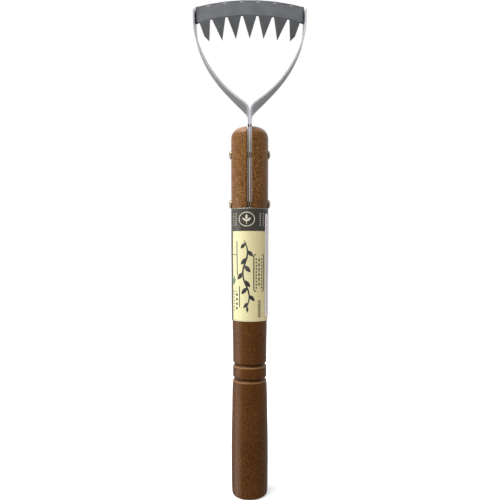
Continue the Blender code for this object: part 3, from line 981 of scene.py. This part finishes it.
def makeBladeSteel(name, dark, light, stretch, rough, paintedGlints=False):
    steel, wire, shader = newMaterial(name)
    place = wire.place()
    x, _, z = wire.split(place)
    brushed = wire.group(streaks, Vector=place, Stretch=stretch, **{"Cloud Size": 130.0})
    marks = wire.group(smudges, Vector=place, Size=70.0)
    tone = wire.spread(brushed["Clouds"], 0.32, 0.68)
    plain = wire.mix(tone, (*dark, 1.0), (*light, 1.0))
    lined = wire.mix(wire.spread(brushed["Lines"], 0.5, 0.75, 0.0, 0.45), plain, (*light, 1.0))
    if paintedGlints:
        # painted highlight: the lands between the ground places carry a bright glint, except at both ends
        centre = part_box("blade")[1].z - bladeSettings["radius"] * mm
        up = wire.math("SUBTRACT", z, centre)
        squares = wire.math("ADD", wire.math("POWER", x, 2.0), wire.math("POWER", up, 2.0))
        away = wire.math("POWER", squares, 0.5)
        glintRadius = (bladeSettings["radius"] - bladeSettings["landInset"]) * mm
        turn = wire.math("DIVIDE", wire.math("ARCTAN2", x, up), math.radians(bladeSettings["pitch"]))
        phase = wire.math("FRACT", wire.math("ADD", turn, 20.0))
        nearLand = wire.spread(wire.math("ABSOLUTE", wire.math("SUBTRACT", phase, 0.5)), 0.12, 0.02)
        inBand = wire.spread(wire.math("ABSOLUTE", wire.math("SUBTRACT", away, glintRadius)), 0.0007, 0.0001)
        notEnd = wire.spread(wire.math("ABSOLUTE", turn), 2.9, 2.8)
        spot = wire.math("MULTIPLY", nearLand, wire.math("MULTIPLY", inBand, notEnd))
        lined = wire.mix(spot, lined, (0.50, 0.51, 0.52, 1.0))
    # the folds at both ends are rougher; painted shade and light: the left one is darkened and the right one
    # lightened, to suit the light of the front view
    foldStart, foldFull = (place * mm for place in bladeSettings["foldTone"])
    folded = wire.spread(wire.math("ABSOLUTE", x), foldStart, foldFull)
    paintedFoldShading = wire.spread(x, -0.03, 0.03, -0.42, 0.75)
    lined = wire.scale(lined, wire.math("MULTIPLY_ADD", folded, paintedFoldShading, 1.0))
    worn = wire.group(edgeWear, Vector=place, Start=0.53, Full=0.6)["Mask"]
    bare = wire.mix(wire.math("MULTIPLY", worn, 0.5), lined, (*[value * 1.4 for value in light], 1.0))
    rougher = wire.math("MULTIPLY_ADD", marks["Marks"], 0.14, wire.math("MULTIPLY_ADD", folded, 0.2, rough))
    finishSurface(wire, shader, bare, wire.math("MULTIPLY_ADD", brushed["Lines"], 0.1, rougher),
                  wire.bump(brushed["Lines"], 0.15, 0.00006), metal=1.0)
    return steel


# label: a printed paper wrap, and a white strip stuck over its right edge

labelSettings = {
    "gap": 0.2,
    "thickness": 0.25,
    "seam": 4.0,
    "columns": 144,
    "rows": 60,
    "ripple": 0.05,
    "bandBottom": 179.3,
    "creamFrom": -64.0,
    "creamTo": 100.0,
    "stripFrom": 54.0,
    "stripTo": 108.0,
    "stripLift": 0.15,
    "stripThickness": 0.15,
    "printRadius": 12.3,                 # prints are laid out on a cylinder of this radius
    "inkThickness": 0.02,
    "inkLift": 0.01,
}

labelBottom, labelTop = (corner.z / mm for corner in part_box("label"))


def paperPoint(degrees, height, lift):
    # on the paper's outer side, at an azimuth from the front and a height in mm
    share = (height - labelBottom) / (labelTop - labelBottom)
    radius = gripRadius(labelBottom) + (gripRadius(labelTop) - gripRadius(labelBottom)) * share
    turn = math.radians(degrees)
    ripple = math.sin(3.0 * turn + height / 9.0) * math.sin(height / 13.0 + 1.0)
    radius += labelSettings["gap"] + lift + labelSettings["ripple"] * ripple
    return (radius * math.sin(turn) * mm, -radius * math.cos(turn) * mm, height * mm)


def paperSheet(name, first, last, low, high, lift, thickness, material):
    shape = bmesh.new()
    uv = shape.loops.layers.uv.new("wrap")
    columns = max(12, round(labelSettings["columns"] * (last - first) / 360.0))
    rows = labelSettings["rows"]
    grid = []
    for row in range(rows + 1):
        height = low + (high - low) * row / rows
        line = []
        for column in range(columns + 1):
            degrees = first + (last - first) * column / columns
            line.append((shape.verts.new(paperPoint(degrees, height, lift + thickness)),
                         (degrees / 360.0 + 0.5, height * mm)))
        grid.append(line)
    for below, above in zip(grid, grid[1:]):
        for column in range(columns):
            corners = (below[column], below[column + 1], above[column + 1], above[column])
            face = shape.faces.new([vert for vert, _ in corners])
            for loop, (_, place) in zip(face.loops, corners):
                loop[uv].uv = place
    sheet = shapePiece(name, shape, [material])
    addModifier(sheet, "SOLIDIFY", thickness=thickness * mm, offset=-1.0)
    shadeRound(sheet, 40.0)
    return sheet


def makePrintedPaper():
    paper, wire, shader = newMaterial("printed paper")
    across, height, _ = wire.split(wire.place("UV"))
    body = wire.place()
    degrees = wire.math("MULTIPLY_ADD", across, 360.0, -180.0)
    ragged = wire.noise(body, 2600.0, 2.0)
    soft = wire.math("MULTIPLY_ADD", ragged, 0.00016, -0.00008)
    onBand = wire.spread(wire.math("ADD", height, soft), labelSettings["bandBottom"] * mm - 0.00008,
                         labelSettings["bandBottom"] * mm + 0.00008)
    leftOf = wire.spread(degrees, labelSettings["creamFrom"] + 0.5, labelSettings["creamFrom"] - 0.5)
    rightOf = wire.spread(degrees, labelSettings["creamTo"] - 0.5, labelSettings["creamTo"] + 0.5)
    charcoal = wire.math("MAXIMUM", onBand, wire.math("MAXIMUM", leftOf, rightOf))
    fibres = wire.group(streaks, Vector=body, Stretch=(1500.0, 1500.0, 1100.0), **{"Cloud Size": 70.0})
    # the cream is darker and yellower towards the right side
    creamAcross = wire.mix(wire.spread(degrees, -20.0, 60.0), (0.665, 0.62, 0.355, 1.0), (0.66, 0.555, 0.285, 1.0))
    mottled = wire.scale(creamAcross, wire.spread(fibres["Lines"], 0.3, 0.7, 0.93, 1.05))
    ink = wire.scale(wire.mix(fibres["Clouds"], (0.040, 0.036, 0.028, 1.0), (0.056, 0.051, 0.041, 1.0)),
                     wire.spread(fibres["Lines"], 0.3, 0.7, 0.9, 1.12))
    printed = wire.mix(charcoal, mottled, ink)
    # rubbed pale along the cut edges
    rim = wire.math("MINIMUM", wire.math("SUBTRACT", height, labelBottom * mm),
                    wire.math("SUBTRACT", labelTop * mm, height))
    rubbed = wire.math("MULTIPLY", wire.spread(rim, 0.0006, 0.0001), wire.spread(ragged, 0.42, 0.6, 0.0, 0.6))
    marks = wire.group(smudges, Vector=body, Size=80.0)
    shader.inputs["Specular IOR Level"].default_value = 0.3
    relief = wire.math("ADD", fibres["Lines"], fibres["Clouds"])
    finishSurface(wire, shader, wire.mix(rubbed, printed, (0.62, 0.57, 0.42, 1.0)),
                  wire.math("MULTIPLY_ADD", marks["Marks"], 0.12, 0.27), wire.bump(relief, 0.15, 0.00005))
    return paper


def makeWhitePaper():
    paper, wire, shader = newMaterial("white paper")
    body = wire.place()
    fibres = wire.group(streaks, Vector=body, Stretch=(1800.0, 1800.0, 1300.0), **{"Cloud Size": 90.0})
    tone = wire.mix(fibres["Clouds"], (0.75, 0.69, 0.70, 1.0), (0.80, 0.745, 0.755, 1.0))
    marks = wire.group(smudges, Vector=body, Size=80.0)
    finishSurface(wire, shader, wire.scale(tone, wire.spread(fibres["Lines"], 0.3, 0.7, 0.95, 1.03)),
                  wire.math("MULTIPLY_ADD", marks["Marks"], 0.12, 0.45),
                  wire.bump(fibres["Lines"], 0.15, 0.00004))
    return paper


def makeInk(name, thin, full):
    # printed a little unevenly: thin places are nearer to the colour of the paper under them
    ink, wire, shader = newMaterial(name)
    body = wire.place()
    fibres = wire.group(streaks, Vector=body, Stretch=(2200.0, 2200.0, 2200.0), **{"Cloud Size": 300.0})
    even = wire.math("MULTIPLY_ADD", fibres["Clouds"], 0.4, wire.math("MULTIPLY", fibres["Lines"], 0.6))
    finishSurface(wire, shader, wire.mix(wire.spread(even, 0.36, 0.5), (*thin, 1.0), (*full, 1.0)),
                  wire.math("MULTIPLY_ADD", fibres["Lines"], 0.15, 0.35),
                  wire.bump(fibres["Lines"], 0.1, 0.00003))
    return ink


class Print:
    # flat ornament in one ink, laid out as (mm across from the front, height in mm)

    def __init__(self, under=0.0):
        # under: how far the paper printed on stands above the label's own face
        self.shape = bmesh.new()
        self.lift = labelSettings["thickness"] + under + labelSettings["inkLift"]

    def vert(self, across, height):
        degrees = math.degrees(across / labelSettings["printRadius"])
        return self.shape.verts.new(paperPoint(degrees, height, self.lift))

    def stroke(self, route, width, closed=False):
        # width is a number, or a function of the share along the route
        count = len(route)
        rows = []
        for index, (across, height) in enumerate(route):
            before = route[(index - 1) % count] if closed or index > 0 else route[index]
            after = route[(index + 1) % count] if closed or index < count - 1 else route[index]
            along = Vector((after[0] - before[0], after[1] - before[1])).normalized()
            half = 0.5 * (width(index / (count - 1)) if callable(width) else width)
            side = Vector((along.y, -along.x)) * half
            rows.append([self.vert(across - side.x, height - side.y), self.vert(across, height),
                         self.vert(across + side.x, height + side.y)])
        pairs = list(zip(rows, rows[1:]))
        if closed:
            pairs.append((rows[-1], rows[0]))
        for near, far in pairs:
            for column in range(2):
                self.shape.faces.new((near[column], near[column + 1], far[column + 1], far[column]))

    def leaf(self, root, tip, width):
        # two rounded halves that meet in a point at both ends
        steps = 10
        start, aim = Vector(root), Vector(tip) - Vector(root)
        route = [tuple(start + aim * step / steps) for step in range(steps + 1)]
        self.stroke(route, lambda share: max(0.05, width * math.sin(math.pi * share) ** 0.8
                                             * (1.15 - 0.3 * share)))

    def rule(self, start, finish, width, steps=12):
        begin, aim = Vector(start), Vector(finish) - Vector(start)
        self.stroke([tuple(begin + aim * step / steps) for step in range(steps + 1)], width)

    def dashes(self, across, top, pitch, dash, width, count):
        for row in range(count):
            height = top - pitch * row
            self.rule((across, height), (across, height - dash), width, 3)

    def ring(self, centre, radiusAcross, radiusUp, width, steps=36):
        route = [(centre[0] + radiusAcross * math.cos(2.0 * math.pi * step / steps),
                  centre[1] + radiusUp * math.sin(2.0 * math.pi * step / steps)) for step in range(steps)]
        self.stroke(route, width, closed=True)

    def finish(self, name, ink, slot):
        bmesh.ops.recalc_face_normals(self.shape, faces=self.shape.faces)
        for face in self.shape.faces:
            middleOfFace = face.calc_center_median()
            if face.normal.dot(Vector((middleOfFace.x, middleOfFace.y, 0.0))) < 0.0:
                face.normal_flip()
        printed = shapePiece(name, self.shape, [ink])
        addModifier(printed, "SOLIDIFY", thickness=labelSettings["inkThickness"] * mm, offset=1.0)
        shadeRound(printed, 40.0)
        return printed


def makeVine(ink):
    # a winding stem with a leaf in each bend, a ruled panel and small marks
    art = Print()
    top, bottom, middleLine = 173.0, 128.6, -3.6

    def stem(share):
        swing = 1.9 * math.sin(2.0 * math.pi * 1.5 * share) + 1.6 * share
        return (middleLine + swing, top + (bottom - top) * share)

    steps = 120
    art.stroke([stem(step / steps) for step in range(steps + 1)],
               lambda share: 0.5 + 0.7 * math.sin(math.pi * share) ** 0.6)
    leafCount = 9
    for number in range(leafCount):
        root = stem((number + 0.35) / leafCount)
        side = 1.0 if number % 2 else -1.0
        grown = 0.75 + 0.25 * math.sin(math.pi * (number + 0.5) / leafCount)
        art.leaf(root, (root[0] + side * 4.3 * grown, root[1] - 4.6 * grown), 2.9 * grown)
    art.leaf(stem(0.985), (stem(1.0)[0] + 0.4, bottom - 3.4), 1.6)
    art.rule((-9.3, 172.7), (-8.9, 150.0), 0.75)
    art.rule((-7.2, 142.7), (-7.2, 128.7), 0.7)
    for height in (163.6, 139.0):
        art.rule((-13.4, height), (-9.2, height), 0.4)
    # ruled panel with rows of plain dashes
    left, right, low, high, corner = 2.7, 10.2, 139.2, 163.7, 1.4
    outline = []
    inner = (left + corner, right - corner, low + corner, high - corner)
    for centreX, centreZ, first in ((inner[1], inner[3], 0.0), (inner[0], inner[3], 90.0),
                                    (inner[0], inner[2], 180.0), (inner[1], inner[2], 270.0)):
        for step in range(7):
            turn = math.radians(first + 15.0 * step)
            outline.append((centreX + corner * math.cos(turn), centreZ + corner * math.sin(turn)))
    art.stroke(outline, 0.7, closed=True)
    for column, pitch, dash in ((4.4, 2.1, 1.2), (6.4, 3.2, 2.2), (8.5, 2.1, 1.2)):
        height = high - 2.6
        while height - dash > low + 1.6:
            art.rule((column, height), (column, height - dash), 0.95, 3)
            height -= pitch
    # small marks below
    for row in range(5):
        art.ring((6.7, 132.2 - 2.35 * row), 0.8, 0.85, 0.55, 16)
    art.dashes(-9.4, 137.6, 3.0, 1.6, 1.5, 4)
    art.dashes(-12.2, 137.6, 2.1, 1.0, 0.8, 6)
    return art.finish("print_dark", ink, "printed_paper")


def makeBandPrint(ink):
    # a sprig in an oval, with columns of dashes at both sides
    art = Print()
    centre = (-2.0, 187.2)
    art.ring(centre, 5.2, 4.6, 0.5)
    art.rule((centre[0], centre[1] - 3.2), (centre[0], centre[1] + 0.6), 0.4)
    art.leaf((centre[0], centre[1] - 0.4), (centre[0], centre[1] + 3.4), 1.5)
    for side in (-1.0, 1.0):
        art.leaf((centre[0], centre[1] - 1.4), (centre[0] + side * 3.0, centre[1] + 0.9), 1.3)
    for across in (-12.3, -9.9, 7.2, 9.7):
        art.dashes(across, 191.3, 1.5, 0.9, 0.55, 6)
    return art.finish("print_pale", ink, "printed_paper")


def makeGreenPrint(ink):
    art = Print()
    art.leaf((-12.6, 143.0), (-12.0, 149.6), 2.1)
    art.leaf((-12.4, 144.2), (-10.6, 147.4), 1.2)
    return art.finish("print_green", ink, "printed_paper")


def makeStripMarks(ink):
    art = Print(labelSettings["stripLift"] + labelSettings["stripThickness"])
    across = math.radians(63.5) * labelSettings["printRadius"]
    height = 187.5
    row = 0
    while height > 126.0:
        length = (0.9, 1.5, 0.6, 1.2)[row % 4]
        art.rule((across, height), (across, height - length), 0.6, 3)
        height -= length + 0.75
        row += 1
    return art.finish("strip_marks", ink, "white_paper")


# build

wood = makeWood()
handle = makeHandle(wood)
print("handle ready")

brass = makeBrass()
pieces = [handle]
pieces.append(makeHandleRivet("upper_brass_rivet", "upper_handle_rivet", brass))
pieces.append(makeHandleRivet("lower_brass_rivet", "lower_handle_rivet", brass))
rivetSteel = makePlatedSteel("rivet steel", "Object", (0.47, 0.47, 0.50), (0.56, 0.56, 0.59))
for sideName in ("left", "right"):
    for ending in ("front", "rear"):
        pieces.append(makeFlushRivet(f"{sideName}_flush_rivet_{ending}",
                                     f"{sideName}_blade_rivet_{ending}", rivetSteel))
print("rivets ready")

strapSteel = makePlatedSteel("plated steel", "UV", (0.33, 0.325, 0.31), (0.39, 0.385, 0.37), shadedTang=True)
# painted highlight: the strips' rims are a paler, non-metal grey that stands in for the light they catch
strapEdge = makePlatedSteel("edge painted pale", "Object", (0.415, 0.415, 0.45), (0.475, 0.475, 0.515),
                            (300.0, 300.0, 300.0), shadedTang=True, metal=0.0, relief=0.02, rough=0.5)
pieces.append(makeStrap("left_strap", "left_arm", -1.0, strapSteel, strapEdge))
pieces.append(makeStrap("right_strap", "right_arm", 1.0, strapSteel, strapEdge))
print("straps ready")

bandSteel = makeBladeSteel("grey steel", (0.183, 0.190, 0.198), (0.219, 0.227, 0.236),
                           (700.0, 700.0, 3800.0), 0.5, paintedGlints=True)
groundSteel = makeBladeSteel("ground steel", (0.132, 0.136, 0.141), (0.165, 0.169, 0.174),
                             (3600.0, 900.0, 500.0), 0.46)
# painted reflection: the scallops along the top edge are near-black, standing in for the dark they reflect
edgeSteel = makeBladeSteel("ground edge", (0.045, 0.047, 0.049), (0.075, 0.078, 0.082),
                           (900.0, 900.0, 900.0), 0.5, paintedGlints=True)
pieces.append(makeBlade(bandSteel, groundSteel, edgeSteel))
print("blade ready")

halfWrap = 180.0 - 0.5 * labelSettings["seam"]
label = paperSheet("paper_label", -halfWrap, halfWrap, labelBottom, labelTop, 0.0,
                   labelSettings["thickness"], makePrintedPaper())
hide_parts("label")
low, high = (corner.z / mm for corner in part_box("label_strip"))
strip = paperSheet("white_strip", labelSettings["stripFrom"], labelSettings["stripTo"], low, high,
                   labelSettings["thickness"] + labelSettings["stripLift"], labelSettings["stripThickness"],
                   makeWhitePaper())
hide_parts("label_strip")
pieces += [label, strip]
darkInk = makeInk("dark ink", (0.085, 0.08, 0.065), (0.022, 0.022, 0.022))
paleInk = makeInk("pale ink", (0.38, 0.36, 0.28), (0.62, 0.58, 0.44))
greenInk = makeInk("green ink", (0.12, 0.26, 0.15), (0.035, 0.17, 0.085))
greyInk = makeInk("grey ink", (0.22, 0.19, 0.2), (0.10, 0.085, 0.095))
pieces += [makeVine(darkInk), makeBandPrint(paleInk), makeGreenPrint(greenInk), makeStripMarks(greyInk)]
print("label ready")

for piece in pieces:
    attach(piece, "root")
